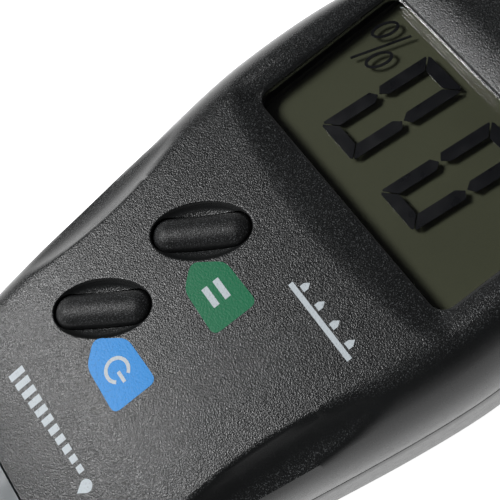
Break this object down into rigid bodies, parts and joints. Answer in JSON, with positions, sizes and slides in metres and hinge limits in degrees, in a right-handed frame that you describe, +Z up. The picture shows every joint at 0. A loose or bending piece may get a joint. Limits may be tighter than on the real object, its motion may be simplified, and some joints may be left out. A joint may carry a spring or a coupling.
{
  "type": "moisture meter",
  "caption": "Handheld pin-type moisture meter with a large segment display, two slanted buttons, side thumb grips and a pull-off cap over its needle probes.",
  "frame": {"origin": "centre of the underside of the whole meter as it lies on its back, halfway along its length", "axes": "+X to the right of the display as it is read, +Y along the body towards the probe pins, +Z up out of the face"},
  "size_m": [0.0642, 0.158, 0.0277],
  "materials": {
    "shell": "charcoal ABS, fine sparkling spark-eroded texture on the face, smooth satin on the sides",
    "cap": "smooth blue-grey satin plastic",
    "clear_pane": "clear acrylic window",
    "lcd_glass": "polarised display glass",
    "reflector": "olive reflective film",
    "inner_plastic": "plain black moulded plastic",
    "soft_rubber": "soft layered conductive rubber",
    "board": "green solder mask over glass-fibre board",
    "component_black": "black moulded component body",
    "component_blue": "blue moulded trimmer body",
    "button": "matte near-black moulded keys",
    "steel": "bright turned steel",
    "brass": "bright stamped brass",
    "battery_jacket": "plain printed jacket",
    "wire_red": "red insulation",
    "wire_black": "black insulation"
  },
  "bodies": {
    "case": {"front_shell": "shell", "rear_shell": "shell", "display_window": "clear_pane", "lcd_front_glass": "lcd_glass", "lcd_rear_glass": "lcd_glass", "lcd_reflector": "reflector", "lcd_frame": "inner_plastic", "zebra_strip_upper": "soft_rubber", "zebra_strip_lower": "soft_rubber", "circuit_board": "board", "controller_chip": "component_black", "crystal_can": "steel", "trimmer": "component_blue", "capacitor": "component_black", "hold_switch": "component_black", "power_switch": "component_black", "pin_block": "inner_plastic", "probe_pin_1": "steel", "probe_pin_2": "steel", "probe_pin_3": "steel", "probe_pin_4": "steel", "probe_terminal_1": "brass", "probe_terminal_2": "brass", "probe_terminal_3": "brass", "probe_terminal_4": "brass", "battery": "battery_jacket", "battery_snap": "component_black", "battery_lead_red": "wire_red", "battery_lead_black": "wire_black", "case_screw_1": "steel", "case_screw_2": "steel", "case_screw_3": "steel", "case_screw_4": "steel"},
    "hold_key": {"hold_button": "button", "hold_plunger": "component_black"},
    "power_key": {"power_button": "button", "power_plunger": "component_black"},
    "cap": {"protective_cap": "cap"},
    "door": {"battery_door": "shell"}
  },
  "joints": [
    {"name": "hold_press", "type": "slide", "parent": "case", "child": "hold_key", "axis": [0, 0, -1], "range_m": [0, 0.0008], "stiffness_N_per_m": 2000},
    {"name": "power_press", "type": "slide", "parent": "case", "child": "power_key", "axis": [0, 0, -1], "range_m": [0, 0.0008], "stiffness_N_per_m": 2000},
    {"name": "cap_pull", "type": "slide", "parent": "case", "child": "cap", "axis": [0, 1, 0], "range_m": [0, 0.06]},
    {"name": "door_lift", "type": "slide", "parent": "case", "child": "door", "axis": [0, 0, -1], "range_m": [0, 0.03]}
  ]
}
